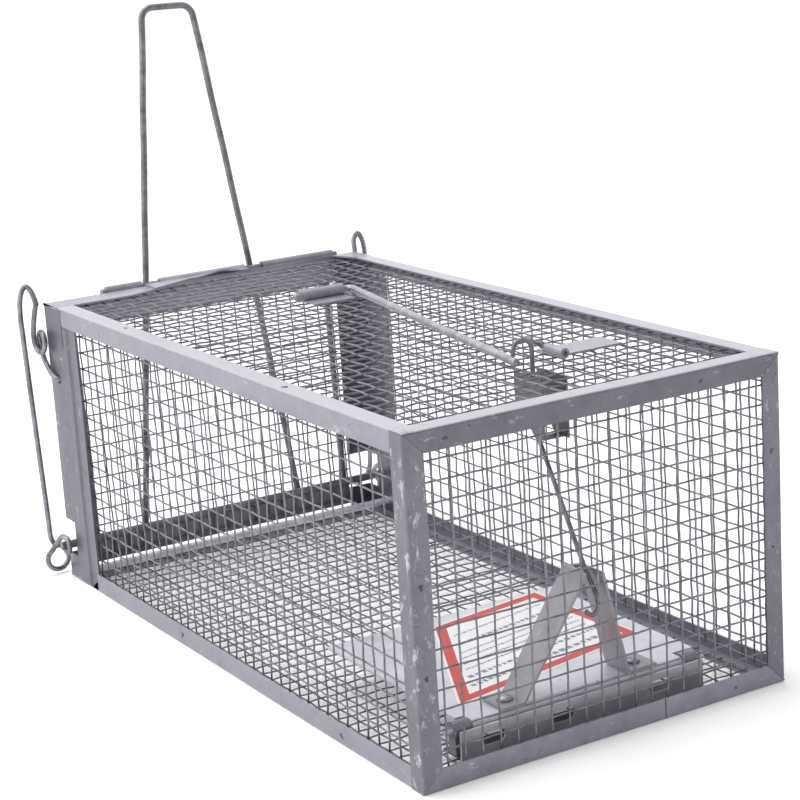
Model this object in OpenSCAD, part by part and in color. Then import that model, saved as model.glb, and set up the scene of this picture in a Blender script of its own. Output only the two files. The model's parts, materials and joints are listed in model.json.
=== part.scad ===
// Live catch cage trap: a wire mesh box in a frame of folded sheet strips, with a sprung top-hung
// door worked by a tall wire lever, a hold-down bar, a trip wire latch and a tilting bait pedal.
// Origin on the floor under the middle of the whole outline, lever included. X runs along the box
// (door end at -X, pedal end at +X), Y across it, Z up. Millimetres.

/* [Cage] */
// length of the box
cage_length = 265; // [200:1:330]
// width of the box
cage_width = 139; // [100:1:180]
// height of the box
cage_height = 110.4; // [80:0.1:150]
// thickness of the folded sheet
sheet = 0.7; // [0.5:0.1:1.2]
// width of the corner strips
strip = 7; // [5:0.5:12]
// width of the side plates at the door end
post_width = 19.7; // [14:0.1:26]
// width of the strip around the doorway
door_flange = 10; // [6:0.5:14]

/* [Mesh] */
// spacing of the mesh wires
pitch = 6.35; // [5:0.05:12.7]
// diameter of the mesh wires
mesh_wire = 0.7; // [0.5:0.05:1]
// diameter of the edge wires that tie each panel together
edge_wire = 0.95; // [0.8:0.05:1.2]

/* [Door] */
// lean of the closed door
door_lean = 2.92; // [0:0.01:5]
// diameter of the hinge rod
hinge_rod_d = 3; // [2:0.1:4]
// diameter of the lever wire
lever_d = 2.6; // [2:0.1:4]
// height of the lever above the hinge
lever_rise = 104.5; // [70:0.5:130]
// diameter of the closing spring wire
spring_d = 2.1; // [1.5:0.1:3]

/* [Latch] */
// diameter of the hold-down bar
bar_d = 2.8; // [2:0.1:4]
// diameter of the latch and trip wires
trip_d = 1.5; // [1:0.1:2.5]

/* [Pedal] */
// length of the pedal plate
pedal_length = 82; // [60:1:100]
// width of the pedal plate
pedal_width = 92; // [60:1:110]

/* [Hidden] */
zinc = [0.66, 0.66, 0.70];
dull = [0.52, 0.52, 0.56];
wire_grey = [0.42, 0.42, 0.44];
bright = [0.86, 0.86, 0.88];
hx = cage_length / 2;
hy = cage_width / 2;
top = cage_height;
gap = 0.05;
layer = mesh_wire + gap;
over = top - sheet - 0.05;
hinge = [-hx - 2.5, 0, top - 0.5];
bar_pivot = [-58, 0, over + 2.35];
latch_axis = [0, 18.5, over + 1.85];
hook_x = 91;
hook = [hook_x, 0.8, top + 5.2];
hook_r = 3.6;
trip_y = hook[1] + hook_r;
pedal_axis = [119, 0, 11.2];
pedal_top = pedal_axis[2] + 2.05;
bracket_back = 109.5;
bracket_width = 12;
bracket_left = [0.2, 49.2];
bracket_right = [6, 48.4];
// the lever's tip stands further out than the pedal end
centring = 7.7;
// outer face of the door's strips, from the hinge line
door_face = -0.89;

// ---- helpers ----

// a sub-part in its colour, moved so that the origin is under the middle of the whole outline
module part(shade) {
  color(shade) translate([centring, 0, 0]) children();
}

function unit(v) = v / norm(v);
function flip(p) = [for (i = [len(p) - 1 : -1 : 0]) p[i]];
function normal(a, b) = let (u = unit(b - a)) [-u[1], u[0]];

// a line of points shifted sideways by t, with mitred corners
function shifted(p, t) = [for (i = [0 : len(p) - 1])
  i == 0 ? p[0] + t * normal(p[0], p[1]) :
  i == len(p) - 1 ? p[i] + t * normal(p[i - 1], p[i]) :
  let (m = normal(p[i - 1], p[i]), n = normal(p[i], p[i + 1])) p[i] + t * (m + n) / (1 + m * n)];

// the outline of a folded sheet that follows the points p
module fold(p, t) {
  polygon(concat(p, flip(shifted(p, t))));
}

// a sheet folded in the YZ plane, from x on, w wide
module fold_x(p, t, x, w) {
  translate([x, 0, 0]) rotate([90, 0, 90]) linear_extrude(w) fold(p, t);
}

function heading(v) = atan2(v[1], v[0]);
function turn(p, i) = let (a = heading(p[i + 1] - p[i]) - heading(p[i] - p[i - 1]))
  a > 180 ? a - 360 : a < -180 ? a + 360 : a;

// a round wire bent in the XY plane through the points p, with bend radius r
module bent_wire(p, d, r) {
  n = len(p);
  lap = 0.3;
  trim = [for (i = [0 : n - 1]) i == 0 || i == n - 1 ? 0 : r * abs(tan(turn(p, i) / 2))];
  for (i = [0 : n - 2]) {
    u = unit(p[i + 1] - p[i]);
    a = i == 0 ? 0 : trim[i] - lap;
    b = i == n - 2 ? 0 : trim[i + 1] - lap;
    translate([p[i][0] + u[0] * a, p[i][1] + u[1] * a, 0]) rotate([0, 0, heading(u)])
      rotate([0, 90, 0]) cylinder(h = norm(p[i + 1] - p[i]) - a - b, d = d, $fn = 24);
  }
  for (i = [1 : n - 2]) {
    u = unit(p[i] - p[i - 1]);
    s = sign(turn(p, i));
    a = abs(turn(p, i));
    translate([p[i][0] - u[0] * trim[i], p[i][1] - u[1] * trim[i], 0])
      rotate([0, 0, heading(u)]) translate([0, s * r, 0]) rotate([0, 0, s > 0 ? -90 : 90 - a])
        rotate_extrude(angle = a, $fn = 48) translate([r, 0]) circle(d = d + 0.06, $fn = 24);
  }
}

// points of a smooth curve through p, n steps between neighbours
function curve_at(a, b, c, d, t) = 0.5 * (2 * b + (c - a) * t + (2 * a - 5 * b + 4 * c - d) * t * t
  + (3 * b - a - 3 * c + d) * t * t * t);
function curve(p, n) = let (m = len(p) - 1) concat([for (i = [0 : m - 1], k = [0 : n - 1])
  curve_at(p[max(i - 1, 0)], p[i], p[i + 1], p[min(i + 2, m)], k / n)], [p[m]]);
function tangent(q, i) = unit(q[min(i + 1, len(q) - 1)] - q[max(i - 1, 0)]);
function carried(q, i, n, out) = i == len(q) ? out :
  let (t = tangent(q, i), m = unit(n - (n * t) * t)) carried(q, i + 1, m, concat(out, [m]));

// a round wire swept along a free curve in space
module swept_wire(p, d, steps, start) {
  k = 12;
  q = curve(p, steps);
  m = carried(q, 0, start, []);
  last = len(q) - 1;
  points = [for (i = [0 : last], j = [0 : k - 1]) let (b = cross(tangent(q, i), m[i]))
    q[i] + d / 2 * (cos(360 * j / k) * m[i] + sin(360 * j / k) * b)];
  sides = [for (i = [0 : last - 1], j = [0 : k - 1], h = [0, 1])
    let (e = (j + 1) % k, a = i * k, b = a + k)
      h == 0 ? [a + j, b + j, b + e] : [a + j, b + e, a + e]];
  ends = [[for (j = [0 : k - 1]) j], [for (j = [k - 1 : -1 : 0]) last * k + j]];
  polyhedron(points, concat(sides, ends), convexity = 6);
}

// a woven panel in the XY plane: nx wires across X and ny wires across Y, a margin past the last
module mesh_panel(nx, ny, margin_x, margin_y) {
  lx = (nx - 1) * pitch;
  ly = (ny - 1) * pitch;
  for (j = [0 : ny - 1])
    translate([-margin_x, j * pitch, 0]) rotate([0, 90, 0]) rotate([0, 0, 90])
      cylinder(h = lx + 2 * margin_x, d = j == 0 || j == ny - 1 ? edge_wire : mesh_wire, $fn = 16);
  for (i = [0 : nx - 1])
    translate([i * pitch, -margin_y, -layer]) rotate([-90, 0, 0])
      cylinder(h = ly + 2 * margin_y, d = i == 0 || i == nx - 1 ? edge_wire : mesh_wire, $fn = 16);
}

module mirrored() {
  mirror([0, 1, 0]) children();
}

// ---- front ring ----

// one side of the mitred front face, l long, lying along X with its outer edge on Y = 0
module mitred_face(l, a, b) {
  polygon([[a * gap, 0], [l - b * gap, 0], [l - b * (strip + gap), strip], [a * (strip + gap), strip]]);
}

// the same for an upright, whose ends stand on the sheet of the rails above and below
module upright_face(l) {
  e = sheet + gap;
  f = strip + gap;
  polygon([[e, 0], [l - e, 0], [l - e, sheet], [l - f, strip], [f, strip], [e, sheet]]);
}

module front_post() {
  part(zinc) union() {
    translate([hx - sheet, -hy, top]) rotate([0, 90, 0]) linear_extrude(sheet)
      upright_face(top);
    translate([hx - strip, -hy, sheet + gap]) cube([strip, sheet, top - 2 * sheet - 2 * gap]);
  }
}

module front_post_left() {
  front_post();
}

module front_post_right() {
  mirrored() front_post();
}

module front_rail_top() {
  part(zinc) union() {
    translate([hx - sheet, -hy, top]) rotate([90, 0, 90]) mirror([0, 1, 0])
      linear_extrude(sheet) mitred_face(cage_width, 1, 1);
    translate([hx - strip, -hy, top - sheet]) cube([strip, cage_width, sheet]);
  }
}

module front_rail_bottom_left() {
  l = hy + 20.2;
  part(zinc) union() {
    translate([hx - sheet, -hy, 0]) rotate([90, 0, 90]) linear_extrude(sheet)
      mitred_face(l, 1, 0);
    translate([hx - strip, -hy, 0]) cube([strip, l, sheet]);
  }
}

module front_rail_bottom_right() {
  l = hy - 20.6;
  part(zinc) union() {
    translate([hx - sheet, 20.6, 0]) rotate([90, 0, 90]) linear_extrude(sheet)
      mitred_face(l, 0, 1);
    translate([hx - strip, 20.6, 0]) cube([strip, l, sheet]);
  }
}

// ---- long rails ----

module rail_top() {
  side_start = -hx + 16.6;
  flat_start = -hx + 13.1;
  end = hx - strip - gap;
  part(zinc) union() {
    translate([side_start, -hy, top - strip]) cube([end - side_start, sheet, strip]);
    translate([flat_start, -hy, top - sheet]) cube([end - flat_start, strip, sheet]);
  }
}

module rail_top_left() {
  rail_top();
}

module rail_top_right() {
  mirrored() rail_top();
}

module rail_bottom() {
  side_start = -hx + 27.2;
  flat_start = -hx + 13.1;
  end = hx - strip - gap;
  part(zinc) union() {
    translate([side_start, -hy, 0]) cube([end - side_start, sheet, strip]);
    translate([flat_start, -hy, 0]) cube([end - flat_start, strip, sheet]);
  }
}

module rail_bottom_left() {
  rail_bottom();
}

module rail_bottom_right() {
  mirrored() rail_bottom();
}

// ---- doorway ----

// side plate with its doorway flange and a joggled inner edge that laps the mesh
module door_post() {
  plan = [[-hx, -hy + door_flange], [-hx, -hy], [-hx + post_width, -hy],
    [-hx + post_width + 1.2, -hy + 0.8], [-hx + 27, -hy + 0.8]];
  part(zinc) difference() {
    translate([0, 0, sheet + gap]) linear_extrude(top - 2 * sheet - 2 * gap) fold(plan, sheet);
    // the top rail laps this corner
    translate([-hx + 16.3, -hy - 1, top - strip - 0.2]) cube([20, 4, strip + 1]);
    // slit beside the end of the top rail
    translate([-hx + 15.9, -hy - 1, top - 15.4]) cube([0.7, 2, 9]);
    // open slot that the door pin drops into
    translate([-hx - 1, -hy - 1, 9.5]) cube([10.2, door_flange + 2, 14.5]);
    // hole that anchors the spring tail
    translate([-124, -hy + 3, 81.6]) rotate([90, 0, 0]) cylinder(h = 5, d = 3.6, $fn = 24);
  }
}

module door_post_left() {
  door_post();
}

module door_post_right() {
  mirrored() door_post();
}

module door_header() {
  part(zinc) union() {
    translate([-hx, -hy, top - sheet]) linear_extrude(sheet)
      polygon([[0, 0], [13, 0], [13, 31.5], [1.5, 69.5], [1.3, 128], [13, 132.5], [13, 139], [0, 139]]);
    translate([-hx, -hy + door_flange + 0.1, top - 11])
      cube([sheet, cage_width - 2 * door_flange - 0.2, 11]);
  }
}

module door_sill() {
  part(zinc) translate([-hx, -hy, 0]) cube([13, cage_width, sheet]);
}

module floor_rod() {
  part(bright) translate([-110.5, -67.9, 7.5]) rotate([-90, 0, 0]) cylinder(h = 135.8, d = 3, $fn = 32);
}

// ---- mesh panels ----

module mesh_top() {
  part(wire_grey) translate([hook_x - 34.5 * pitch, trip_y - 10.5 * pitch, over - 0.5])
    mesh_panel(41, 21, 1.2, 1.2);
}

module mesh_bottom() {
  part(wire_grey) mirror([0, 0, 1]) translate([hook_x - 34.5 * pitch, -10 * pitch, -sheet - 0.55])
    mesh_panel(41, 21, 1.2, 1.2);
}

module mesh_side() {
  part(wire_grey) translate([-hx + 25.3, -hy + 2.8, 5.25]) rotate([90, 0, 0])
    mesh_panel(38, 17, 0.9, 1.2);
}

module mesh_left() {
  mesh_side();
}

module mesh_right() {
  mirrored() mesh_side();
}

module mesh_front() {
  part(wire_grey) translate([hx - sheet - 0.6, -65.85, 5.25]) rotate([90, 0, 90])
    mesh_panel(22, 17, 1.2, 1.2);
}

// ---- fittings on the cage ----

// strip over the header, rolled down into an eye around the hinge rod
module hinge_strap() {
  part(zinc) difference() {
    union() {
      translate([0, 0, top + 0.1]) linear_extrude(sheet)
        polygon([[hinge[0], -26.5], [-122, -26.5], [-129.5, -8], [-129.5, 19], [hinge[0], 19]]);
      translate([hinge[0], -19, hinge[2]]) rotate([-90, 0, 0]) cylinder(h = 38, d = 4.7, $fn = 48);
    }
    translate([hinge[0], -43, hinge[2]]) rotate([-90, 0, 0])
      cylinder(h = 65, d = hinge_rod_d + 0.1, $fn = 48);
    // room for the moving eye and the lever leg beside it
    translate([hinge[0] - 3, -30, top - 3]) cube([5.6, 11, 5]);
  }
}

module bar_clip() {
  part(zinc) difference() {
    union() {
      translate([bar_pivot[0], 4, over + 0.1]) cube([10, 17, sheet - 0.05]);
      translate([bar_pivot[0], 2, bar_pivot[2]]) rotate([-90, 0, 0])
        cylinder(h = 19, d = bar_d + 1.7, $fn = 48);
    }
    translate([bar_pivot[0], 1, bar_pivot[2]]) rotate([-90, 0, 0])
      cylinder(h = 21, d = bar_d + 0.12, $fn = 48);
  }
}

module latch_clip() {
  part(zinc) difference() {
    union() {
      translate([73.5, latch_axis[1], over + 0.1]) cube([12.5, 25, sheet]);
      translate([79, latch_axis[1], latch_axis[2]]) rotate([0, 90, 0])
        cylinder(h = 10, d = 3.5, $fn = 48);
    }
    translate([78, latch_axis[1], latch_axis[2]]) rotate([0, 90, 0])
      cylinder(h = 12, d = trip_d + 0.16, $fn = 48);
  }
}

// two walls hanging under the mesh, either side of the trip wire
module trigger_guide() {
  z = over - 1.6;
  near = 2.1;
  far = 9.9;
  part(dull) union() {
    translate([0, near, 0]) rotate([90, 0, 0]) linear_extrude(sheet)
      polygon([[85, z], [99.7, z], [99.7, 88], [95, 88], [85, 99]]);
    translate([0, far, 0]) rotate([90, 0, 0]) linear_extrude(sheet)
      polygon([[86, z], [102, z], [102, 88], [95, 88], [86, 99]]);
    translate([96, near - sheet, 88]) cube([3.7, far - near + sheet, sheet]);
  }
}

// ---- pedal mounting ----

module slot_cut(y) {
  translate([121, y, 7.4]) rotate([0, 90, 0]) {
    translate([0, -2.4, 0]) cylinder(h = 4, d = 4.2, $fn = 32);
    translate([0, 2.4, 0]) cylinder(h = 4, d = 4.2, $fn = 32);
    translate([-2.1, -2.4, 0]) cube([4.2, 4.8, 4]);
  }
}

module pedal_base() {
  part(dull) difference() {
    union() {
      translate([122.6, -50, 2.6]) cube([0.8, 93, 9.2]);
      translate([113, -50, 2.6]) cube([10.4, 93, 0.8]);
    }
    slot_cut(-38.3);
    slot_cut(-12.2);
    slot_cut(25.9);
  }
}

module pedal_rod() {
  part(bright) translate([pedal_axis[0], -53, pedal_axis[2]]) rotate([-90, 0, 0])
    cylinder(h = 99, d = 2.6, $fn = 32);
}

module pedal_lug(y) {
  part(dull) difference() {
    union() {
      translate([pedal_axis[0], y, pedal_axis[2]]) rotate([-90, 0, 0]) cylinder(h = 6, d = 5.6, $fn = 48);
      translate([pedal_axis[0] - 2, y, 3.5]) cube([4, 6, 6]);
    }
    translate([pedal_axis[0], y - 1, pedal_axis[2]]) rotate([-90, 0, 0]) cylinder(h = 8, d = 2.64, $fn = 32);
  }
}

module pedal_lug_left() {
  pedal_lug(-50.5);
}

module pedal_lug_right() {
  pedal_lug(36.8);
}

// ---- closing springs ----

// the fixed end: short leg, coil and a tail hooked into the side plate
module spring_coil() {
  c = [-132.4, -73.1, 95.3];
  coil = [for (a = [190 : 30 : 550])
    [c[0] + 3.95 * cos(a), c[1] + 2.25 * (a - 190) / 360, c[2] + 3.95 * sin(a)]];
  part(wire_grey) swept_wire(concat(
    [[-137.1, -71.5, 108.4], [-137.3, -72.2, 103], [-136.9, -73, 98]], coil,
    [[-135.8, -70.75, 91.4], [-133.5, -70.75, 87.6], [-128.6, -70.75, 84],
    [-125.2, -70.4, 82.1], [-124, -68.9, 81.6], [-124, -67.2, 81.6]]), spring_d, 2, [1, 0, 0]);
}

module spring_coil_left() {
  spring_coil();
}

module spring_coil_right() {
  mirrored() spring_coil();
}

// the moving end: hairpin, long leg, bottom ring and the eye around the door pin
module spring_arm() {
  pin = [-126.9, -72.3, 14.3];
  eye = [for (a = [-150 : 30 : 90]) [pin[0] + 2.95 * cos(a), pin[1], pin[2] + 2.95 * sin(a)]];
  r = [-136.6, -72.2, 6.5];
  ring = [for (a = [150 : 30 : 450])
    [r[0] - 2.6 * (a - 150) / 300, r[1] + 4.7 * cos(a), r[2] + 4.7 * sin(a)]];
  part(wire_grey) swept_wire(concat(eye,
    [[-130.4, -72.4, 17], [-133.6, -73, 14.6], [-135.6, -74.6, 11.2]], ring,
    [[-139.2, -73.9, 14.6], [-139, -74.2, 19], [-138.7, -74.5, 26], [-138.2, -75.8, 60],
    [-137.6, -77.1, 96], [-137.4, -77.4, 106], [-137.3, -76.8, 112.5], [-137.3, -75.2, 116.3],
    [-137.2, -73.6, 116.6], [-137.2, -72, 114], [-137.1, -71.4, 109]]), spring_d, 2, [0, 1, 0]);
}

module spring_arm_left() {
  spring_arm();
}

module spring_arm_right() {
  mirrored() spring_arm();
}

// ---- door, drawn hanging from the hinge line ----

module hung() {
  translate(hinge) rotate([0, -door_lean, 0]) children();
}

module hinge_rod() {
  part(wire_grey) hung() translate([0, -44, 0]) rotate([-90, 0, 0])
    cylinder(h = 106, d = hinge_rod_d, $fn = 32);
}

module door_eye(y, w) {
  difference() {
    union() {
      translate([door_face, y, -8]) cube([sheet, w, 7]);
      translate([0, y, 0]) rotate([-90, 0, 0]) cylinder(h = w, d = 4.7, $fn = 48);
    }
    translate([0, y - 1, 0]) rotate([-90, 0, 0]) cylinder(h = w + 2, d = hinge_rod_d + 0.04, $fn = 48);
  }
}

module door_top_strip() {
  part(zinc) hung() union() {
    translate([door_face, -58.2, -11.9]) cube([sheet, 116.4, 6]);
    door_eye(-42, 15);
    door_eye(27, 33);
  }
}

module door_kick_strip() {
  part(dull) hung() translate([door_face, -58.2, -106.5]) cube([sheet, 116.4, 9.8]);
}

module door_side_rod() {
  part(wire_grey) hung() translate([door_face - 1.3, -56.9, -105.9]) cylinder(h = 98, d = 2.5, $fn = 32);
}

module door_side_rod_left() {
  door_side_rod();
}

module door_side_rod_right() {
  mirrored() door_side_rod();
}

module door_pin_bar() {
  part(wire_grey) hung() translate([3.26, -74.5, -95.8]) rotate([-90, 0, 0])
    cylinder(h = 149, d = 3.2, $fn = 32);
}

module mesh_door() {
  part(wire_grey) hung() translate([0.36, -9 * pitch, -104.1]) rotate([90, 0, 90]) mirror([0, 0, 1])
    mesh_panel(19, 16, 0.9, 1);
}

// tall wire loop on the outside of the door
module door_lever() {
  out = door_face - 2;
  foot = 35.8;
  shoulder = 23.1;
  tip = 10.6;
  knee = 3.1;
  back = 1.8;
  part(wire_grey) hung() union() {
    for (s = [-1, 1]) {
      translate([out, s * foot, knee - lever_rise]) rotate([s * atan((foot - shoulder) / lever_rise), 0, 0])
        cylinder(h = norm([foot - shoulder, lever_rise]), d = lever_d, $fn = 24);
      translate([out, s * shoulder, knee]) sphere(d = lever_d + 0.06, $fn = 32);
    }
    translate([out, 0, knee]) rotate([0, -back, 0]) rotate([90, 0, 90])
      bent_wire([[-shoulder, 0], [-tip, lever_rise], [tip, lever_rise], [shoulder, 0]], lever_d, 5);
  }
}

// ---- hold-down bar and latch ----

module hold_bar() {
  part(wire_grey) translate([0, 0, bar_pivot[2]])
    bent_wire([[-58, 1], [-58, 25], [89.9, -1.1]], bar_d, 3);
}

// pivot in the rolled clip, then a link up to the hook over the bar
module latch_hook() {
  a = latch_axis;
  arc = [for (t = [60 : 27 : 195]) [hook[0], hook[1] + hook_r * cos(t), hook[2] + hook_r * sin(t)]];
  part(wire_grey) swept_wire(concat([[88.5, a[1], a[2]], [84, a[1], a[2]], [79.4, a[1], a[2]],
    [77.4, a[1] - 0.5, a[2] + 0.4], [77, a[1] - 2.2, a[2] + 1.8], [79.4, 13, 114.6],
    [84.6, 8.2, 117.4], [89.4, 4.2, 118.7]], arc), trip_d, 3, [0, 0, 1]);
}

// from the hook down through the mesh and the guide to the pedal bracket
module trip_wire() {
  arc = [for (t = [42 : -21 : 0]) [hook[0], hook[1] + hook_r * cos(t), hook[2] + hook_r * sin(t)]];
  y = trip_y;
  part(wire_grey) swept_wire(concat(arc, [[hook_x, y, 112], [hook_x, y, 100], [hook_x, y, 92],
    [hook_x + 0.9, y, 88.3], [hook_x + 4, y, 82.8], [104, y + 0.1, 67.1], [114.1, y + 0.3, 49.4],
    [117.2, 5, 44.5], [119.3, 5.2, 40.6], [120, 4.8, 37.6], [119.8, 3.6, 35.7], [119, 2.2, 35.8],
    [118.6, 1.4, 36.9]]),
    trip_d, 2, [1, 0, 0]);
}

// ---- pedal ----

module pedal_plate() {
  back = pedal_axis[0] - pedal_length;
  part(bright) difference() {
    union() {
      translate([back, -47, pedal_top - sheet]) cube([pedal_length, pedal_width, sheet]);
      translate([pedal_axis[0], -44, pedal_axis[2]]) rotate([-90, 0, 0])
        cylinder(h = 80.5, d = 4.4, $fn = 48);
    }
    translate([pedal_axis[0], -48, pedal_axis[2]]) rotate([-90, 0, 0]) cylinder(h = 96, d = 2.7, $fn = 48);
    // clearance for the fixed lugs
    translate([pedal_axis[0] - 3.4, -51, pedal_top - 4]) cube([6, 6.9, 6]);
    translate([pedal_axis[0] - 3.4, 36.5, pedal_top - 4]) cube([6, 9, 6]);
  }
}

// bent strip riveted to the pedal, notched at its ridge for the trip wire
module pedal_bracket() {
  z = pedal_top + 0.25;
  path = [[26, z], [14.6, z], bracket_right, bracket_left, [-24.9, z], [-33, z]];
  part(bright) difference() {
    fold_x(path, -1, bracket_back, bracket_width);
    translate([0, 0, 40]) linear_extrude(20)
      polygon([[111.2, 1.8], [122.5, -0.2], [122.5, 6.2], [111.2, 5.9]]);
  }
}

module pedal_rivet(y) {
  translate([115.5, y, pedal_top + 1.3]) cylinder(h = 0.9, d1 = 5.2, d2 = 4.2, $fn = 32);
}

module pedal_rivets() {
  part(bright) {
    pedal_rivet(-28.5);
    pedal_rivet(20.6);
  }
}

module pedal_label() {
  part([0.93, 0.93, 0.93]) translate([0, 0, pedal_top + 0.02]) linear_extrude(0.12)
    polygon([[108.5, -40.9], [94.9, 40.1], [37.8, 37.1], [44.5, -10]]);
}

front_post_left();
front_post_right();
front_rail_top();
front_rail_bottom_left();
front_rail_bottom_right();
rail_top_left();
rail_top_right();
rail_bottom_left();
rail_bottom_right();
door_post_left();
door_post_right();
door_header();
door_sill();
floor_rod();
mesh_top();
mesh_bottom();
mesh_left();
mesh_right();
mesh_front();
hinge_strap();
bar_clip();
latch_clip();
trigger_guide();
pedal_base();
pedal_rod();
pedal_lug_left();
pedal_lug_right();
spring_coil_left();
spring_coil_right();
hinge_rod();
door_top_strip();
door_kick_strip();
door_side_rod_left();
door_side_rod_right();
door_pin_bar();
mesh_door();
door_lever();
spring_arm_left();
spring_arm_right();
hold_bar();
latch_hook();
trip_wire();
pedal_plate();
pedal_bracket();
pedal_rivets();
pedal_label();
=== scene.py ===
import json
import math
import random

import bmesh
import bpy
import numpy as np
from mathutils import Euler, Matrix, Vector


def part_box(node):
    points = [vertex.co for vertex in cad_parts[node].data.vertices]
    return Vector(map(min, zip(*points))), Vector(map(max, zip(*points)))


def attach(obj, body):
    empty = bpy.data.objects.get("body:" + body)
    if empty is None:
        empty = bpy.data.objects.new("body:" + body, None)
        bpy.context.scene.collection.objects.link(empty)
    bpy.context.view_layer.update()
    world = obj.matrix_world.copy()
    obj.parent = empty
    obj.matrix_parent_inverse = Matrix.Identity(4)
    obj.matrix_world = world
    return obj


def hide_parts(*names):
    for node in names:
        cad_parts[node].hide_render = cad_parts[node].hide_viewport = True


# Looks of the live catch cage trap: woven mesh, folded galvanised strips, formed wires, springs,
# pedal with its sticker. Metres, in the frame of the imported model.

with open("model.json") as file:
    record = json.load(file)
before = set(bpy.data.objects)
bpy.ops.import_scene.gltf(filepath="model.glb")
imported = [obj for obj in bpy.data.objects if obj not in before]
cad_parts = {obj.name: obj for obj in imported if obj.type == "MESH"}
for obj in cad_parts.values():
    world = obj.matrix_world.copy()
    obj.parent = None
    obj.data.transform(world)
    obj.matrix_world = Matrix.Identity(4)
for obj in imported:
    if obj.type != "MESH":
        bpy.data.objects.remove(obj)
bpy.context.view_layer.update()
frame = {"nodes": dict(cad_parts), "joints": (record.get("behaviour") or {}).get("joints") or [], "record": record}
NODES = frame["nodes"]
JOINTS = {j["name"]: j for j in frame["joints"]}
BODY = {n: body for body, members in frame["record"]["behaviour"]["bodies"].items() for n in members}

MM = 0.001
PITCH = 6.35 * MM
MESH_R = 0.32 * MM
LEVER_R = 1.3 * MM
BAR_R = 1.4 * MM
SPRING_R = 1.05 * MM
LATCH_R = 0.75 * MM
SHEET = 0.7 * MM
HINGE = Vector(JOINTS["door_swing"]["pos_m"])
DOOR_LEAN = math.radians(-2.92)
DOOR_FRAME = Matrix.Translation(HINGE) @ Matrix.Rotation(DOOR_LEAN, 4, "Y")
CAGE_HALF = 132.5 * MM
CAGE_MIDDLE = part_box("front_rail_top")[1].x - CAGE_HALF


def spot(x, y, z):
    """A point in millimetres from the floor under the middle of the cage box, as a row frame vector."""
    return Vector((CAGE_MIDDLE + x * MM, y * MM, z * MM))


# ---------------------------------------------------------------- materials

class Shader:
    """A Principled material and short calls for the nodes that feed it."""

    def __init__(self, name, metallic, roughness):
        self.material = bpy.data.materials.new(name)
        self.material.use_nodes = True
        self.tree = self.material.node_tree
        self.bsdf = self.tree.nodes["Principled BSDF"]
        self.bsdf.inputs["Metallic"].default_value = metallic
        self.bsdf.inputs["Roughness"].default_value = roughness
        coordinates = self.node("ShaderNodeTexCoord").outputs
        self.place = coordinates["Object"]
        self.facing = coordinates["Normal"]

    def node(self, kind, **values):
        made = self.tree.nodes.new(kind)
        for key, value in values.items():
            setattr(made, key, value)
        return made

    def feed(self, source, target):
        self.tree.links.new(source, target)

    def stretched(self, scale, turn=(0, 0, 0)):
        made = self.node("ShaderNodeMapping")
        made.inputs["Scale"].default_value = scale
        made.inputs["Rotation"].default_value = turn
        self.feed(self.place, made.inputs["Vector"])
        return made.outputs["Vector"]

    def noise(self, size, detail=4, rough=0.55, place=None, twist=0):
        """Noise whose blotches are about size metres across."""
        made = self.node("ShaderNodeTexNoise")
        made.inputs["Scale"].default_value = 1 / size
        made.inputs["Detail"].default_value = detail
        made.inputs["Roughness"].default_value = rough
        made.inputs["Distortion"].default_value = twist
        self.feed(place or self.place, made.inputs["Vector"])
        return made.outputs["Fac"]

    def cells(self, size, place=None):
        made = self.node("ShaderNodeTexVoronoi")
        made.inputs["Scale"].default_value = 1 / size
        self.feed(place or self.place, made.inputs["Vector"])
        return made.outputs

    def ramp(self, source, low, high, start=0.0, end=1.0):
        made = self.node("ShaderNodeMapRange", clamp=True)
        made.inputs["From Min"].default_value = low
        made.inputs["From Max"].default_value = high
        made.inputs["To Min"].default_value = start
        made.inputs["To Max"].default_value = end
        self.feed(source, made.inputs["Value"])
        return made.outputs["Result"]

    def maths(self, operation, a, b):
        made = self.node("ShaderNodeMath", operation=operation)
        for socket, value in zip(made.inputs, (a, b)):
            if isinstance(value, (int, float)):
                socket.default_value = value
            else:
                self.feed(value, socket)
        return made.outputs["Value"]

    def mix(self, share, a, b):
        made = self.node("ShaderNodeMix", data_type="RGBA")
        for socket, value in ((made.inputs[0], share), (made.inputs[6], a), (made.inputs[7], b)):
            if isinstance(value, (tuple, float)):
                socket.default_value = (*value, 1) if isinstance(value, tuple) else value
            else:
                self.feed(value, socket)
        return made.outputs[2]

    def bump(self, height, depth, under=None):
        made = self.node("ShaderNodeBump")
        made.inputs["Distance"].default_value = depth
        made.inputs["Strength"].default_value = 1
        self.feed(height, made.inputs["Height"])
        if under is not None:
            self.feed(under, made.inputs["Normal"])
        return made.outputs["Normal"]

    def finish(self, color, roughness=None, normal=None):
        self.feed(color, self.bsdf.inputs["Base Color"])
        if roughness is not None:
            self.feed(roughness, self.bsdf.inputs["Roughness"])
        if normal is not None:
            self.feed(normal, self.bsdf.inputs["Normal"])
        return self.material


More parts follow.
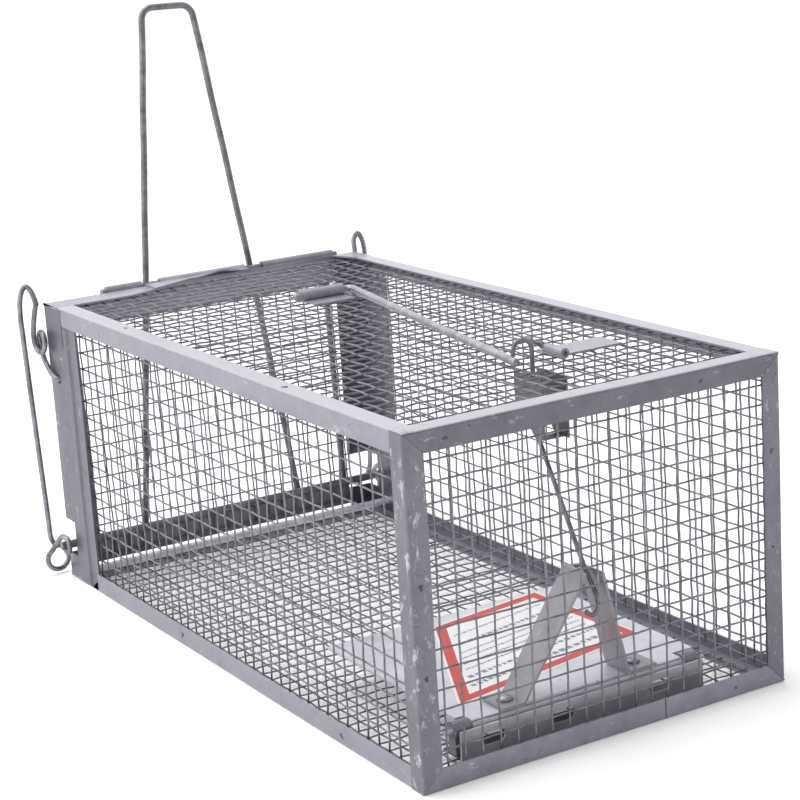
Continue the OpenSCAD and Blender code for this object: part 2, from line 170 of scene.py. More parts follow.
def galvanised(name, light, dark, along, chalk=0.0, metallic=0.5, painted_top_light=0.0, painted_shade_x=None):
    """Zinc coated sheet: cloudy spangle, rolling streaks along one axis, scuffs and chalky bloom.

    The upper faces are painted pale by the given share: a painted highlight for light falling from above.
    Below the given X the sheet is painted near black: painted shade in the recess behind a lip.
    """
    s = Shader(name, metallic, 0.42)
    stretch = [60.0, 60.0, 60.0]
    stretch["XYZ".index(along)] = 2.5
    clouds = s.noise(14 * MM, 5, 0.6)
    spangle = s.cells(2.6 * MM)["Color"]
    grey = s.node("ShaderNodeRGBToBW")
    s.feed(spangle, grey.inputs[0])
    streaks = s.noise(1.0, 3, 0.6, s.stretched(stretch))
    fine = s.noise(0.35 * MM, 2, 0.5)
    blend = s.maths("ADD", s.ramp(clouds, 0.32, 0.68, 0.0, 0.5), s.ramp(grey.outputs[0], 0, 1, 0.0, 0.16))
    blend = s.maths("ADD", blend, s.ramp(streaks, 0.3, 0.7, 0.0, 0.34))
    color = s.mix(blend, dark, light)
    facing = s.node("ShaderNodeSeparateXYZ")
    s.feed(s.facing, facing.inputs[0])
    # Painted highlight: upward-facing faces are mixed towards pale grey, standing in for light from above.
    color = s.mix(s.ramp(facing.outputs[2], 0.35, 0.95, 0.0, painted_top_light), color, (0.66, 0.65, 0.70))
    scuff = s.ramp(s.noise(7 * MM, 6, 0.75, twist=0.6), 0.62, 0.70, 0.0, 0.75)
    color = s.mix(scuff, color, tuple(c * 0.45 for c in dark))
    bloom_place = s.stretched([1.6 if axis == along else 3.2 for axis in "XYZ"])
    powder = s.noise(11 * MM, 7, 0.8, bloom_place, 0.3)
    bloom = s.ramp(powder, 0.60 - 0.12 * chalk, 0.66 - 0.08 * chalk, 0.0, 0.35 + 0.6 * chalk)
    color = s.mix(bloom, color, (0.80, 0.79, 0.80))
    # Painted shade: below the given X the sheet is mixed to near black, standing in for shadow in the recess
    # behind the lip.
    if painted_shade_x is not None:
        axes = s.node("ShaderNodeSeparateXYZ")
        s.feed(s.place, axes.inputs[0])
        recess_shade_mask = s.ramp(axes.outputs[0], painted_shade_x - 0.3 * MM, painted_shade_x, 0.9, 0.0)
        color = s.mix(recess_shade_mask, color, (0.02, 0.02, 0.022))
    rough = s.maths("ADD", s.ramp(clouds, 0.3, 0.7, 0.30, 0.48), s.ramp(bloom, 0, 1, 0.0, 0.3))
    dents = s.bump(s.noise(22 * MM, 3, 0.5), 0.9 * MM)
    grain = s.bump(s.maths("ADD", streaks, s.ramp(fine, 0, 1, 0.0, 0.5)), 0.045 * MM, dents)
    return s.finish(color, rough, grain)


def wire_finish(name, light, dark, metallic=0.75, size=5.0):
    """Zinc plated wire: uneven plating, small dark nicks and drawing marks."""
    s = Shader(name, metallic, 0.36)
    patches = s.noise(size * MM, 5, 0.65)
    nicks = s.ramp(s.noise(1.3 * MM, 4, 0.7), 0.60, 0.70, 0.0, 0.7)
    color = s.mix(s.ramp(patches, 0.35, 0.65), dark, light)
    color = s.mix(nicks, color, tuple(c * 0.4 for c in dark))
    rough = s.ramp(patches, 0.3, 0.7, 0.28, 0.5)
    grain = s.bump(s.noise(0.5 * MM, 3, 0.6), 0.03 * MM)
    return s.finish(color, rough, grain)


def sticker_paper():
    """Coated paper, a little yellowed and scuffed."""
    s = Shader("sticker_paper", 0.0, 0.4)
    s.bsdf.inputs["Coat Weight"].default_value = 0.25
    cloud = s.noise(9 * MM, 4, 0.6)
    color = s.mix(s.ramp(cloud, 0.3, 0.7), (0.80, 0.80, 0.82), (0.90, 0.90, 0.91))
    wrinkles = s.bump(s.noise(8 * MM, 5, 0.6, twist=0.8), 0.25 * MM)
    return s.finish(color, s.ramp(cloud, 0.3, 0.7, 0.34, 0.5), wrinkles)


def printed_ink(name, color, worn):
    """Ink on the sticker, thinner in places."""
    s = Shader(name, 0.0, 0.45)
    thin = s.ramp(s.noise(1.1 * MM, 5, 0.7), 0.45, 0.75, 0.0, worn)
    return s.finish(s.mix(thin, color, (0.85, 0.84, 0.85)), s.ramp(thin, 0, 1, 0.4, 0.55),
                    s.bump(s.noise(0.6 * MM, 2, 0.5), 0.02 * MM))


def pale_floor():
    s = Shader("floor", 0.0, 0.9)
    s.bsdf.inputs["Emission Color"].default_value = (1, 1, 1, 1)
    s.bsdf.inputs["Emission Strength"].default_value = 0.15
    return s.finish(s.mix(s.noise(0.4, 2, 0.5), (0.93, 0.93, 0.93), (0.95, 0.95, 0.95)))


FRONT_LIGHT, FRONT_DARK = (0.22, 0.21, 0.25), (0.105, 0.10, 0.122)
SIDE_LIGHT, SIDE_DARK = (0.33, 0.32, 0.375), (0.20, 0.195, 0.235)
DOORWAY_LIGHT, DOORWAY_DARK = (0.21, 0.205, 0.24), (0.115, 0.112, 0.138)
# The front rails get a painted highlight on their upper faces.
FRONT_Y = galvanised("zinc_front_rails", FRONT_LIGHT, FRONT_DARK, "Y", painted_top_light=0.6)
# A lighter copy of the front zinc for the front foot rails: painted light, standing in for light bounced up from
# the floor.
FRONT_FOOT_BOUNCE_LIT = galvanised("zinc_front_foot_bounce_lit", (0.31, 0.30, 0.355), (0.15, 0.144, 0.175), "Y")
FRONT_Z = galvanised("zinc_front_posts", FRONT_LIGHT, FRONT_DARK, "Z", chalk=0.1)
CHALKY = galvanised("zinc_chalky", (0.22, 0.215, 0.25), (0.11, 0.11, 0.13), "Z", chalk=0.3)
# The long rails get a painted highlight on their upper faces.
SHEET_X = galvanised("zinc_long_rails", SIDE_LIGHT, SIDE_DARK, "X", painted_top_light=0.5)
DOORWAY = galvanised("zinc_doorway", DOORWAY_LIGHT, DOORWAY_DARK, "Z", chalk=0.1)
HEADER = galvanised("zinc_header", (0.44, 0.43, 0.49), (0.28, 0.275, 0.325), "Y")
DULL = galvanised("zinc_dull", (0.34, 0.335, 0.37), (0.19, 0.19, 0.215), "Y")
GUIDE = galvanised("zinc_guide", (0.20, 0.20, 0.22), (0.08, 0.08, 0.09), "X")
# The pedal base gets painted shade behind its lip, where the pedal shadows it.
BASE = galvanised("zinc_base", (0.66, 0.66, 0.70), (0.43, 0.43, 0.47), "Y",
                  painted_shade_x=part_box("pedal_base")[1].x - 0.8 * MM)
PEDAL = galvanised("zinc_pedal", (0.80, 0.80, 0.85), (0.56, 0.56, 0.62), "Y", metallic=0.4)
BRACKET = galvanised("zinc_bracket", (0.40, 0.39, 0.41), (0.25, 0.245, 0.26), "Z", metallic=0.6)
MESH_WIRE = wire_finish("mesh_wire", (0.28, 0.275, 0.31), (0.13, 0.125, 0.15), 0.6, 4.0)
FORMED_WIRE = wire_finish("formed_wire", (0.29, 0.285, 0.31), (0.135, 0.132, 0.15))
BAR_WIRE = wire_finish("bar_wire", (0.47, 0.46, 0.51), (0.27, 0.265, 0.30))
SPRING_WIRE = wire_finish("spring_wire", (0.34, 0.335, 0.37), (0.15, 0.15, 0.17))
BRIGHT = wire_finish("bright_rod", (0.78, 0.77, 0.82), (0.56, 0.55, 0.60), 0.7)
RIVET = wire_finish("rivet", (0.42, 0.42, 0.42), (0.22, 0.22, 0.22), 0.8, 3.0)
WELD = wire_finish("weld_mark", (0.10, 0.10, 0.11), (0.04, 0.04, 0.05), 0.3, 1.5)
PAPER = sticker_paper()
RED_INK = printed_ink("red_ink", (0.60, 0.03, 0.025), 0.1)
GREY_INK = printed_ink("grey_ink", (0.20, 0.21, 0.27), 0.5)


# ---------------------------------------------------------------- mesh work

def new_piece(name, verts, faces, material, body, cad_nodes=(), smooth=True):
    """A mesh object that rides on a body and stands for the named CAD nodes."""
    data = bpy.data.meshes.new(name)
    data.from_pydata([tuple(v) for v in verts], [], faces)
    data.update()
    return placed(name, data, material, body, cad_nodes, smooth)


def placed(name, data, material, body, cad_nodes=(), smooth=True):
    data.materials.append(material)
    data.polygons.foreach_set("use_smooth", [smooth] * len(data.polygons))
    piece = bpy.data.objects.new(name, data)
    bpy.context.scene.collection.objects.link(piece)
    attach(piece, body)
    if cad_nodes:
        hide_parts(*cad_nodes)
    return piece


def sway(points, reach=0.12 * MM):
    """A smooth small displacement, the same for neighbours, that takes the machine look off."""
    x, y, z = points[:, 0], points[:, 1], points[:, 2]
    return reach * np.stack([
        np.sin(61 * y + 1.3) + np.sin(83 * z + 0.4),
        np.sin(47 * x + 2.1) + np.sin(91 * z + 1.9),
        np.sin(53 * x + 0.7) + np.sin(71 * y + 2.6)], 1) / 2


def tube(name, points, radius, material, body, cad_nodes=(), sides=14, wobble=0.0):
    """A round wire swept along points, with rounded ends."""
    p = np.array([tuple(q) for q in points], float)
    if wobble:
        p = p + sway(p * 1.7, wobble)
    step = np.gradient(p, axis=0)
    step /= np.linalg.norm(step, axis=1)[:, None]
    across = np.cross(step[0], (0.3, 0.5, 0.8))
    rings = []
    for place, along in zip(p, step):
        across = across - along * np.dot(across, along)
        across /= np.linalg.norm(across)
        rings.append((place, along, across, np.cross(along, across)))
    first, last = rings[0], rings[-1]
    end_steps = ((0.22, 0.9), (0.45, 0.55))
    shells = [(first[0] - first[1] * radius * out, first, share) for out, share in reversed(end_steps)]
    shells += [(r[0], r, 1.0) for r in rings]
    shells += [(last[0] + last[1] * radius * out, last, share) for out, share in end_steps]
    verts = []
    for centre, (_, _, a, b), share in shells:
        for k in range(sides):
            t = 2 * math.pi * k / sides
            verts.append(centre + radius * share * (math.cos(t) * a + math.sin(t) * b))
    faces = []
    for i in range(len(shells) - 1):
        for k in range(sides):
            n = (k + 1) % sides
            faces.append((i * sides + k, i * sides + n, (i + 1) * sides + n, (i + 1) * sides + k))
    top = (len(shells) - 1) * sides
    faces.append(tuple(reversed(range(sides))))
    faces.append(tuple(range(top, top + sides)))
    return new_piece(name, verts, faces, material, body, cad_nodes)


def curve(points, steps=6):
    """A smooth line through the points."""
    p = np.array([tuple(q) for q in points], float)
    made = []
    for i in range(len(p) - 1):
        a, b, c, d = p[max(i - 1, 0)], p[i], p[i + 1], p[min(i + 2, len(p) - 1)]
        for k in range(steps):
            t = k / steps
            made.append(0.5 * (2 * b + (c - a) * t + (2 * a - 5 * b + 4 * c - d) * t * t
                               + (3 * b - a - 3 * c + d) * t ** 3))
    return made + [p[-1]]


def rounded(points, radius, straight=6 * MM):
    """A line through the points with arcs at its corners and extra points on its straights."""
    p = [Vector(q) for q in points]
    made = [p[0]]
    for before, here, after in zip(p, p[1:], p[2:]):
        a, b = (before - here).normalized(), (after - here).normalized()
        half = a.angle(b) / 2
        reach = radius / math.tan(half)
        centre = here + (a + b).normalized() * (radius / math.sin(half))
        start, end = here + a * reach - centre, here + b * reach - centre
        for k in range(9):
            made.append(centre + start.slerp(end, k / 8, start).normalized() * radius)
    made.append(p[-1])
    full = [made[0]]
    for a, b in zip(made, made[1:]):
        count = max(1, round((b - a).length / straight))
        full += [a.lerp(b, (k + 1) / count) for k in range(count)]
    return full


def woven(name, node, place, u_axis, v_axis, seed):
    """Slightly crimped wires, over and under each other, in a CAD panel's box.

    place maps the panel's axes to the row frame.
    """
    low, high = local_box(node, place)
    n_axis = ({0, 1, 2} - {u_axis, v_axis}).pop()
    middle = (low + high) / 2
    size = high - low
    count_u = int(size[u_axis] / PITCH) + 1
    count_v = int(size[v_axis] / PITCH) + 1
    rng = np.random.default_rng(seed)
    sides, per_cell = 8, 5
    lift = 0.13 * MM
    sag = rng.uniform(0, 6.28, 6)
    verts, faces = [], []
    for run, other, count, span in ((u_axis, v_axis, count_v, count_u), (v_axis, u_axis, count_u, count_v)):
        flip = 1 if run == u_axis else -1
        end = size[run] / 2
        for i in range(count):
            start = (i - (count - 1) / 2) * PITCH
            s = np.linspace(-end, end, int(span * per_cell) + 1)
            cell = s / PITCH + (span - 1) / 2
            height = flip * lift * np.cos(math.pi * (cell + i)) * (1 + 0.08 * rng.standard_normal())
            line = np.zeros((len(s), 3))
            line[:, run] = middle[run] + s
            bow = 0.045 * MM * rng.standard_normal() * np.sin(math.pi * s / (2 * end) + rng.uniform(0, 6.28))
            kink = 0.015 * MM * np.sin(2 * math.pi * cell / rng.uniform(5, 9) + rng.uniform(0, 6.28))
            line[:, other] = middle[other] + start + bow + kink
            line[:, n_axis] = middle[n_axis] + height
            a, b = line[:, u_axis], line[:, v_axis]
            line[:, n_axis] += 0.05 * MM * (np.sin(38 * a + sag[0]) + np.sin(52 * b + sag[1]))
            line[:, v_axis] += 0.065 * MM * (np.sin(29 * a + sag[2]) + 0.5 * np.sin(67 * a + sag[3]))
            line[:, u_axis] += 0.065 * MM * (np.sin(33 * b + sag[4]) + 0.5 * np.sin(71 * b + sag[5]))
            base = len(verts)
            normal, side = np.zeros(3), np.zeros(3)
            normal[n_axis], side[other] = 1, 1
            for point in line:
                for k in range(sides):
                    t = 2 * math.pi * k / sides
                    verts.append(point + MESH_R * (math.cos(t) * normal + math.sin(t) * side))
            for j in range(len(line) - 1):
                for k in range(sides):
                    n = (k + 1) % sides
                    o = base + j * sides
                    faces.append((o + k, o + n, o + sides + n, o + sides + k))
            faces.append(tuple(base + k for k in reversed(range(sides))))
            faces.append(tuple(len(verts) - sides + k for k in range(sides)))
    verts = [place @ Vector(v) for v in verts]
    return new_piece(name, verts, faces, MESH_WIRE, BODY[node], [node])


def local_box(node, place):
    """A CAD node's box in the axes of place."""
    back = place.inverted()
    co = np.array([tuple(back @ v.co) for v in NODES[node].data.vertices])
    return Vector(co.min(0)), Vector(co.max(0))


def is_fold(edge, convex, width=2.4 * MM):
    """True for the outer (convex) or inner edge of a right-angled fold with a wide face on both sides."""
    if len(edge.link_faces) != 2 or edge.is_convex != convex or edge.calc_length() < 8 * MM:
        return False
    if abs(math.degrees(edge.calc_face_angle(0)) - 90) > 12:
        return False
    return all(f.calc_area() / edge.calc_length() > width for f in edge.link_faces)


def dressed(node, material, fold=0.9 * MM, edge=0.10 * MM, step=9 * MM, reach=0.12 * MM, bend=None):
    """A CAD sheet part with rounded folds, broken edges and a slight waviness.

    bend gives how far each row of points is pushed, for a part that has been knocked out of flat.
    """
    bm = bmesh.new()
    bm.from_mesh(NODES[node].data)
    bmesh.ops.remove_doubles(bm, verts=bm.verts, dist=2e-6)
    bmesh.ops.dissolve_limit(bm, angle_limit=math.radians(1.5), verts=bm.verts, edges=bm.edges)
    inner = [e for e in bm.edges if is_fold(e, False)]
    if inner and fold > SHEET:
        bmesh.ops.bevel(bm, geom=inner, offset=fold - SHEET, segments=3, profile=0.5, affect="EDGES")
    outer = [e for e in bm.edges if is_fold(e, True)]
    if outer and fold:
        bmesh.ops.bevel(bm, geom=outer, offset=fold, segments=6, profile=0.5, affect="EDGES")
    sharp = [e for e in bm.edges if len(e.link_faces) == 2 and e.calc_face_angle(0) > math.radians(40)]
    if sharp and edge:
        bmesh.ops.bevel(bm, geom=sharp, offset=edge, segments=2, profile=0.6, affect="EDGES",
                        clamp_overlap=True)
    co = np.array([v.co for v in bm.verts])
    low, high = co.min(0), co.max(0)
    longest = int(np.argmax(high - low))
    direction = Vector([1.0 if k == longest else 0.0 for k in range(3)])
    for cut in np.arange(low[longest] + step, high[longest] - step / 2, step):
        at = Vector([cut if k == longest else 0.0 for k in range(3)])
        everything = bm.verts[:] + bm.edges[:] + bm.faces[:]
        bmesh.ops.bisect_plane(bm, geom=everything, plane_co=at, plane_no=direction)
    co = np.array([v.co for v in bm.verts])
    moves = sway(co, reach) if bend is None else sway(co, reach) + bend(co)
    for v, move in zip(bm.verts, moves):
        v.co += Vector(move)
    for e in bm.edges:
        e.smooth = len(e.link_faces) == 2 and e.calc_face_angle(0) < math.radians(38)
    data = bpy.data.meshes.new(node + "_sheet")
    bm.to_mesh(data)
    bm.free()
    piece = placed(node + "_sheet", data, material, BODY[node], [node])
    piece.modifiers.new("weights", "WEIGHTED_NORMAL").keep_sharp = True
    return piece


def retouch(node, material):
    """A CAD node that keeps its own shape and gets a finished material."""
    data = NODES[node].data
    data.materials.clear()
    data.materials.append(material)


# ---------------------------------------------------------------- the cage

def cage_strips():
    dressed("front_post_left", CHALKY)
    dressed("front_post_right", FRONT_Z)
    dressed("front_rail_top", FRONT_Y)
    # The front foot rails take the lighter front zinc, painted light for the floor bounce.
    for node in ("front_rail_bottom_left", "front_rail_bottom_right"):
        dressed(node, FRONT_FOOT_BOUNCE_LIT)
    for node in ("rail_top_left", "rail_top_right", "rail_bottom_left", "rail_bottom_right"):
        dressed(node, SHEET_X)
    for node in ("door_post_left", "door_post_right"):
        dressed(node, DOORWAY)
    for node in ("door_header", "door_sill"):
        dressed(node, HEADER)


def weld_marks():
    """Small burnt spots where the strips were spot welded to the mesh."""
    rng = random.Random(5)
    out, up = CAGE_HALF / MM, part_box("front_rail_top")[1].z / MM
    side = -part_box("front_rail_top")[0].y / MM
    marks = [(spot(out, -side + 3.4, z), 0) for z in (36, 64)]
    marks += [(spot(out, side - 3.8, z), 0) for z in (47, 79)]
    marks += [(spot(out, y, up - 3.9), 0) for y in (-55, 38)]
    marks += [(spot(out, y, 3.3), 0) for y in (-18, 49)]
    marks += [(spot(x, -side, z), 1) for x, z in ((-78, up - 4.1), (22, up - 3.2), (-30, 3.8), (84, 3.1))]
    marks += [(spot(x, y, up), 2) for x, y in ((-64, -side + 3.9), (58, -side + 3.2), (-20, side - 3.7))]
    verts, faces, sides = [], [], 18
    for place, axis in marks:
        u, v = [k for k in range(3) if k != axis]
        sign = -1 if axis == 1 else 1
        base = len(verts)
        size = rng.uniform(0.4, 0.8) * MM
        phase = [rng.uniform(0, 6.28) for _ in range(2)]
        for share, rise in ((1.0, -0.02), (0.8, 0.05), (0.45, 0.03)):
            for k in range(sides):
                t = 2 * math.pi * k / sides
                r = size * share * (1 + 0.3 * math.sin(2 * t + phase[0]) + 0.2 * math.sin(3 * t + phase[1]))
                point = place.copy()
                point[u] += r * math.cos(t) * 1.25
                point[v] += r * math.sin(t)
                point[axis] += sign * rise * MM
                verts.append(point)
        for i in range(2):
            for k in range(sides):
                n, o = (k + 1) % sides, base + i * sides
                faces.append((o + k, o + n, o + sides + n, o + sides + k))
        faces.append(tuple(base + 2 * sides + k for k in range(sides)))
        faces.append(tuple(base + k for k in reversed(range(sides))))
    new_piece("weld_marks", verts, faces, WELD, "cage")


def cage_mesh():
    plain = Matrix.Identity(4)
    woven("mesh_top_woven", "mesh_top", plain, 0, 1, 11)
    woven("mesh_bottom_woven", "mesh_bottom", plain, 0, 1, 12)
    woven("mesh_left_woven", "mesh_left", plain, 0, 2, 13)
    woven("mesh_right_woven", "mesh_right", plain, 0, 2, 14)
    woven("mesh_front_woven", "mesh_front", plain, 1, 2, 15)
    woven("mesh_door_woven", "mesh_door", DOOR_FRAME, 1, 2, 16)


def strap_corner(co):
    """How far the strap's torn inner corner has been prised up."""
    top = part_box("door_header")[1].z
    along = np.clip(1 - np.abs(co[:, 1] - 6 * MM) / (10 * MM), 0, 1)
    inward = np.clip((co[:, 0] - HINGE.x - 1.5 * MM) / (5 * MM), 0, 1)
    rise = 2.0 * MM * along * inward * (co[:, 2] > top)
    return np.stack([0 * rise, 0 * rise, rise], 1)


def cage_fittings():
    dressed("hinge_strap", HEADER, fold=0, edge=0.08 * MM, step=2 * MM, reach=0, bend=strap_corner)
    for node in ("bar_clip", "latch_clip"):
        dressed(node, HEADER, fold=0, edge=0.08 * MM, step=40 * MM, reach=0)
    for node, material in (("trigger_guide", GUIDE), ("pedal_base", BASE), ("pedal_lug_left", DULL),
                           ("pedal_lug_right", DULL)):
        dressed(node, material, fold=0, edge=0.08 * MM, step=40 * MM, reach=0)
    retouch("floor_rod", BRIGHT)
    retouch("pedal_rod", BRIGHT)


# ---------------------------------------------------------------- the door

def door_parts():
    for node in ("door_top_strip", "door_kick_strip"):
        dressed(node, DULL, fold=0, edge=0.08 * MM, step=12 * MM, reach=0.06 * MM)
    for node in ("hinge_rod", "door_side_rod_left", "door_side_rod_right", "door_pin_bar"):
        retouch(node, FORMED_WIRE)


def lever():
    """The legs run down the outside of the door; the loop above the knee leans back."""
    low, _ = local_box("door_lever", DOOR_FRAME)
    out, knee, foot, shoulder, tip, rise, back = [v * MM for v in (-2.89, 3.1, 35.8, 23.1, 10.6, 104.5, 1.8)]
    lean = Matrix.Translation((out, 0, knee)) @ Matrix.Rotation(-math.radians(back / MM), 4, "Y")
    corners = [Vector((out, -foot, low[2])), Vector((out, -shoulder, knee)), lean @ Vector((0, -tip, rise)),
               lean @ Vector((0, tip, rise)), Vector((out, shoulder, knee)), Vector((out, foot, low[2]))]
    path = [DOOR_FRAME @ q for q in rounded(corners, 5 * MM)]
    tube("door_lever_wire", path, LEVER_R, FORMED_WIRE, "door", ["door_lever"], 18, 0.25 * MM)


def closing_spring(side, mirror):
    """Coil and tail on the post, hairpin on the door; the two meet on the hinge axis, so they stay joined."""
    meet = ((HINGE.x - CAGE_MIDDLE) / MM, -71.4, HINGE.z / MM)
    coil_centre = (-132.4, -73.1, 95.3)
    coil = [(coil_centre[0] + 3.95 * math.cos(a), coil_centre[1] + 2.25 * k / 24,
             coil_centre[2] + 3.95 * math.sin(a))
            for k, a in ((k, math.radians(190 + 15 * k)) for k in range(25))]
    fixed = [meet, (-136.5, -71.5, 107.8), (-137.3, -72.2, 103), (-136.9, -73, 98), *coil,
             (-135.8, -70.75, 91.4), (-133.5, -70.75, 87.6), (-128.6, -70.75, 84), (-125.2, -70.4, 82.1),
             (-124, -68.9, 81.6), (-124, -67.2, 81.6)]
    pin = (-126.9, -72.3, 14.3)
    eye = [(pin[0] + 2.95 * math.cos(a), pin[1], pin[2] + 2.95 * math.sin(a))
           for a in (math.radians(-150 + 15 * k) for k in range(17))]
    middle = (-136.6, -72.2, 6.5)
    ring = [(middle[0] - 2.6 * k / 20, middle[1] + 4.7 * math.cos(a), middle[2] + 4.7 * math.sin(a))
            for k, a in ((k, math.radians(150 + 15 * k)) for k in range(21))]
    moving = [*eye, (-130.4, -72.4, 17), (-133.6, -73, 14.6), (-135.6, -74.6, 11.2), *ring,
              (-139.2, -73.9, 14.6), (-139, -74.2, 19), (-138.7, -74.5, 26), (-138.2, -75.8, 60),
              (-137.6, -77.1, 96), (-137.4, -77.4, 106), (-137.3, -76.8, 112.5), (-137.3, -75.2, 116.3),
              (-137.2, -73.6, 116.6), (-136.6, -72, 114), meet]
    for part, points, body in (("coil", fixed, "cage"), ("arm", moving, "door")):
        line = [spot(x, y * mirror, z) for x, y, z in points]
        node = f"spring_{part}_{side}"
        tube(node + "_wire", curve(line, 6), SPRING_R, SPRING_WIRE, body, [node], 16)


# ---------------------------------------------------------------- bar, latch and pedal

def hold_bar():
    pivot = JOINTS["hold_bar_lift"]["pos_m"]
    ends = [(-58, 1), (-58, 25), (89.9, -1.1)]
    path = rounded([spot(x, y, pivot[2] / MM) for x, y in ends], 3 * MM)
    tube("hold_bar_wire", path, BAR_R, BAR_WIRE, "hold_bar", ["hold_bar"], 18, 0.12 * MM)


def latch_wires():
    _, pivot_y, pivot_z = Vector(JOINTS["latch_swing"]["pos_m"]) / MM
    hook_x, hook_y, hook_z, hook_r = 91, 0.8, 115.6, 3.6
    y = hook_y + hook_r
    ring = [(hook_x, hook_y + hook_r * math.cos(a), hook_z + hook_r * math.sin(a))
            for a in (math.radians(60 + 15 * k) for k in range(10))]
    hook = [(88.5, pivot_y, pivot_z), (84, pivot_y, pivot_z), (79.4, pivot_y, pivot_z),
            (77.4, pivot_y - 0.5, pivot_z + 0.4), (77, pivot_y - 2.2, pivot_z + 1.8), (79.4, 13, 114.6),
            (84.6, 8.2, 117.4), (89.4, 4.2, 118.7), *ring]
    bend = [(hook_x, hook_y + hook_r * math.cos(a), hook_z + hook_r * math.sin(a))
            for a in (math.radians(60 - 12 * k) for k in range(6))]
    down = [*bend, (hook_x, y, 112), (hook_x, y, 100), (hook_x, y, 92), (hook_x + 0.9, y, 88.3),
            (hook_x + 4, y, 82.8), (104, y + 0.1, 67.1), (114.1, y + 0.3, 49.4), (117.2, 5, 44.5),
            (119.3, 5.2, 40.6), (120, 4.8, 37.6), (119.8, 3.6, 35.7), (119, 2.2, 35.8), (118.6, 1.4, 36.9)]
    for node, points in (("latch_hook", hook), ("trip_wire", down)):
        line = curve([spot(*q) for q in points], 5)
        tube(node + "_wire", line, LATCH_R, FORMED_WIRE, "latch", [node], 14)


def pedal_parts():
    dressed("pedal_plate", PEDAL, fold=0, edge=0.08 * MM, step=10 * MM, reach=0.1 * MM)
    dressed("pedal_bracket", BRACKET, fold=0, edge=0.08 * MM, step=60 * MM, reach=0)


def rivet_heads():
    """Domed heads with a flat rim, turned from one outline."""
    low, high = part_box("pedal_rivets")
    radius = 2.6 * MM
    outline = [(1.0, 0.0), (1.0, 0.12), (0.93, 0.24), (0.78, 0.36), (0.55, 0.46), (0.28, 0.51), (0.0, 0.53)]
    verts, faces, sides = [], [], 28
    for y in (low[1] + radius, high[1] - radius):
        base = len(verts)
        for r, h in outline[:-1]:
            for k in range(sides):
                t = 2 * math.pi * k / sides
                verts.append(((low[0] + high[0]) / 2 + radius * r * math.cos(t), y + radius * r * math.sin(t),
                              low[2] + radius * h))
        verts.append(((low[0] + high[0]) / 2, y, low[2] + radius * outline[-1][1]))
        for i in range(len(outline) - 2):
            for k in range(sides):
                n = (k + 1) % sides
                o = base + i * sides
                faces.append((o + k, o + n, o + sides + n, o + sides + k))
        tip = len(verts) - 1
        for k in range(sides):
            faces.append((tip - sides + k, tip - sides + (k + 1) % sides, tip))
        faces.append(tuple(base + k for k in reversed(range(sides))))
    new_piece("pedal_rivet_heads", verts, faces, RIVET, "pedal", ["pedal_rivets"])


def inset(outline, depth):
    """A closed outline, anticlockwise, moved inwards by depth."""
    made = []
    for before, here, after in zip(outline[-1:] + outline[:-1], outline, outline[1:] + outline[:1]):
        a, b = (here - before).normalized(), (after - here).normalized()
        m, n = Vector((-a.y, a.x)), Vector((-b.y, b.x))
        made.append(here + (m + n) * depth / (1 + m.dot(n)))
    return made


def reach_across(outline, start, along):
    """Where the line from start along a direction enters and leaves a convex outline."""
    across = Vector((-along.y, along.x))
    hits = []
    for a, b in zip(outline, outline[1:] + outline[:1]):
        p, q = (a - start).dot(across), (b - start).dot(across)
        if p * q < 0:
            hits.append((a.lerp(b, p / (p - q)) - start).dot(along))
    return (min(hits), max(hits)) if len(hits) == 2 else None


def print_layer(name, quads, base, rise, material):
    """Thin four-sided patches lying on the sticker, each given by its corners."""
    verts, faces = [], []
    for quad in quads:
        o = len(verts)
        verts += [Vector((q.x, q.y, z)) for z in (base, base + rise) for q in quad]
        faces += [(o + 4, o + 5, o + 6, o + 7), (o + 3, o + 2, o + 1, o)]
        faces += [(o + k, o + (k + 1) % 4, o + 4 + (k + 1) % 4, o + 4 + k) for k in range(4)]
    return new_piece(name, verts, faces, material, "pedal", smooth=False)


def sticker():
    """Askew white sticker, cut narrower at one end, with a red border and rows of meaningless dashes."""
    low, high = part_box("pedal_label")
    thick = high[2] - low[2]
    outline = [spot(x, y, 0).to_2d() for x, y in ((108.5, -40.9), (94.9, 40.1), (37.8, 37.1), (44.5, -10))]
    print_base, print_rise = low[2] + thick * 0.7, thick * 0.2
    paper = print_layer("sticker_sheet", [outline], low[2], thick * 0.7, PAPER)
    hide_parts("pedal_label")
    outer, inner = inset(outline, 0.8 * MM), inset(outline, 4.4 * MM)
    turns = list(range(4))
    border = [(outer[k], outer[(k + 1) % 4], inner[(k + 1) % 4], inner[k]) for k in turns]
    print_layer("sticker_border", border, print_base, print_rise, RED_INK)
    along = (outline[1] - outline[0]).normalized()
    inward = Vector((-along.y, along.x))
    field = inset(outline, 6.0 * MM)
    rng = random.Random(7)
    dashes = []
    rows = ((9, 2.6), (15, 2.2), (20.5, 1.2), (24.5, 1.2), (28.5, 1.2), (32.5, 1.2), (39, 2.2), (46, 1.2))
    for depth, tall in rows:
        start = outline[0] + inward * depth * MM
        span = reach_across(field, start, along)
        if span is None:
            continue
        here = span[0]
        while here < span[1] - 1.5 * MM:
            size = min(rng.uniform(0.5, 1.1) * tall * MM, span[1] - here)
            a, b = start + along * here, start + along * (here + size)
            half = inward * tall * MM * rng.uniform(0.32, 0.5)
            dashes.append((a - half, b - half, b + half, a + half))
            here += size + rng.uniform(0.3, 0.45) * tall * MM
    print_layer("sticker_dashes", dashes, print_base, print_rise, GREY_INK)


# ---------------------------------------------------------------- stage

def floor():
    bpy.ops.mesh.primitive_plane_add(size=14, location=(0, 0, 0))
    plane = bpy.context.object
    plane.name = "floor"
    plane.data.materials.append(pale_floor())


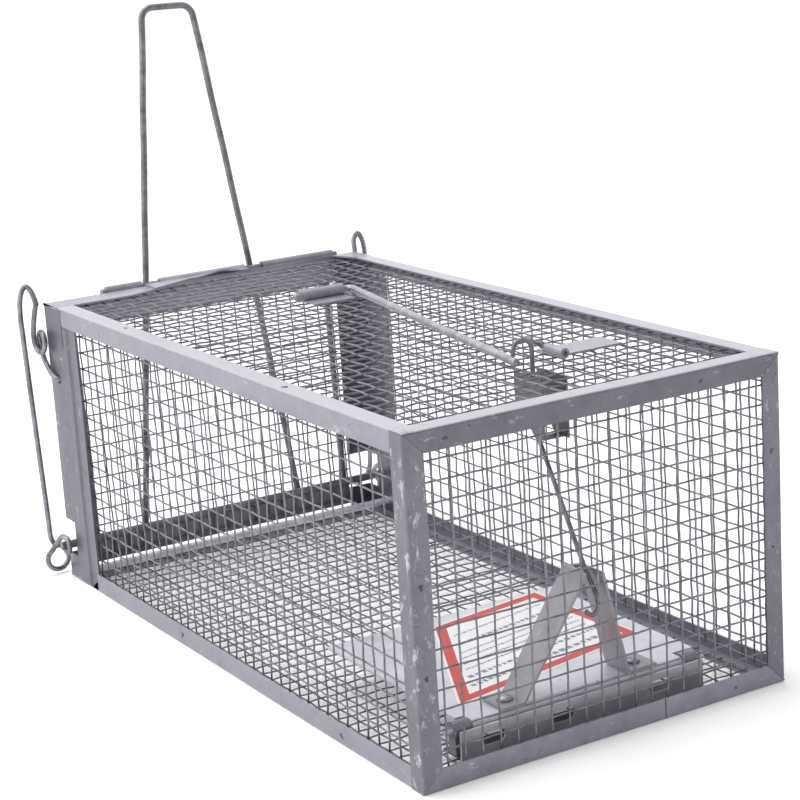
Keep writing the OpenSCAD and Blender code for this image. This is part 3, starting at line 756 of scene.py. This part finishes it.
def area_light(name, place, aim, size, power):
    data = bpy.data.lights.new(name, "AREA")
    data.shape = "RECTANGLE"
    data.size = data.size_y = size
    data.energy = power
    lamp = bpy.data.objects.new(name, data)
    lamp.location = place
    lamp.rotation_euler = (Vector(aim) - Vector(place)).to_track_quat("-Z", "Y").to_euler()
    bpy.context.scene.collection.objects.link(lamp)


def studio():
    """White surroundings, dimmer in front of the trap, and two soft lamps above and behind it."""
    world = bpy.data.worlds.new("studio")
    world.use_nodes = True
    nodes, link = world.node_tree.nodes, world.node_tree.links.new
    sight = nodes.new("ShaderNodeLightPath")
    way = nodes.new("ShaderNodeTexCoord")
    front = nodes.new("ShaderNodeVectorMath")
    front.operation = "DOT_PRODUCT"
    front.inputs[1].default_value = (0.95, 0.2, 0.25)
    shade = nodes.new("ShaderNodeMapRange")
    for socket, value in zip(shade.inputs[1:5], (-0.2, 0.9, 1.25, 0.5)):
        socket.default_value = value
    strength = nodes.new("ShaderNodeMath")
    strength.operation = "MAXIMUM"
    link(way.outputs["Generated"], front.inputs[0])
    link(front.outputs["Value"], shade.inputs["Value"])
    link(sight.outputs["Is Camera Ray"], strength.inputs[0])
    link(shade.outputs["Result"], strength.inputs[1])
    link(strength.outputs["Value"], nodes["Background"].inputs["Strength"])
    nodes["Background"].inputs["Color"].default_value = (1, 1, 1, 1)
    bpy.context.scene.world = world
    area_light("key", (-0.5, -0.3, 1.6), (0, 0, 0.05), 1.2, 12)
    area_light("side", (-0.4, -1.4, 0.9), (0, 0, 0.05), 0.9, 6)
    bpy.context.scene.view_settings.view_transform = "Standard"


def camera():
    data = bpy.data.cameras.new("camera")
    data.sensor_width = 36
    data.lens = 94.93
    data.clip_start = 0.02
    eye = bpy.data.objects.new("camera", data)
    eye.location = spot(625.14, -359.82, 264.10)
    eye.rotation_euler = Euler([math.radians(a) for a in (75.8617, 3.5186, 58.5709)])
    bpy.context.scene.collection.objects.link(eye)
    bpy.context.scene.camera = eye


cage_strips()
weld_marks()
cage_mesh()
cage_fittings()
door_parts()
lever()
closing_spring("left", 1)
closing_spring("right", -1)
hold_bar()
latch_wires()
pedal_parts()
rivet_heads()
sticker()
floor()
studio()
camera()
